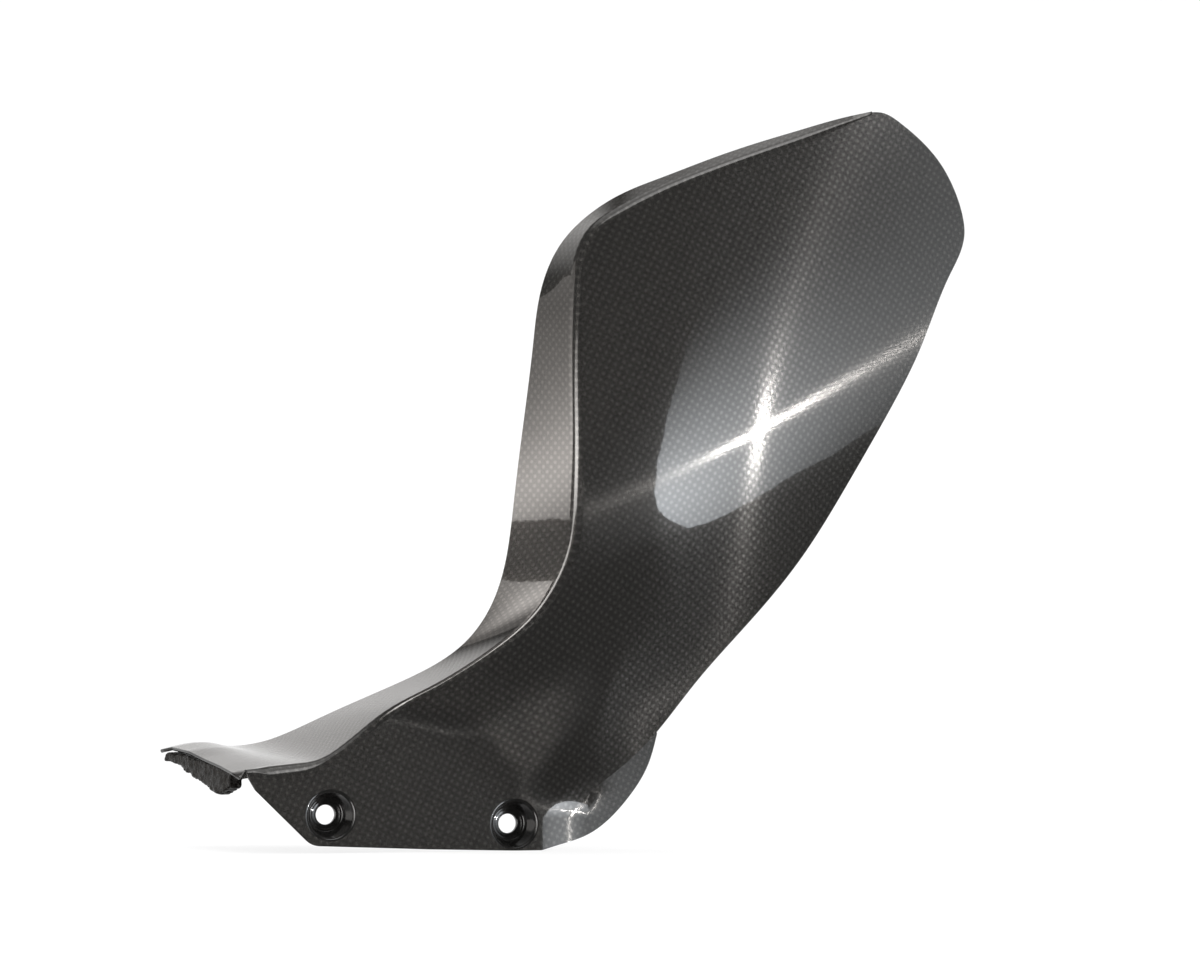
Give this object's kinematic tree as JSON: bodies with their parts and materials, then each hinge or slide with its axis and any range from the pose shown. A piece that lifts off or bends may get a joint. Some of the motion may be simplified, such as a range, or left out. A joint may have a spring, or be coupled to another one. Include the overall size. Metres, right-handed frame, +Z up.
{
  "type": "rear hugger mudguard",
  "caption": "Moulded carbon mudguard with a crowned wing, a front deck over the swing arm and a flange with stepped bolt cups.",
  "frame": {"origin": "centre of the front bolt hole, on the back of its cup, where the cup sits on the swing arm", "axes": "+X back along the flange towards the tail, -Y the outer side, +Z up"},
  "size_m": [0.3215, 0.1809, 0.318],
  "materials": {
    "carbon_gloss": "plain-weave carbon under a deep clear coat",
    "carbon_raw": "uneven resin-rich carbon, uncoated"
  },
  "bodies": {
    "root": {"mudguard_shell": "carbon_gloss", "front_bracket": "carbon_raw"}
  },
  "joints": []
}
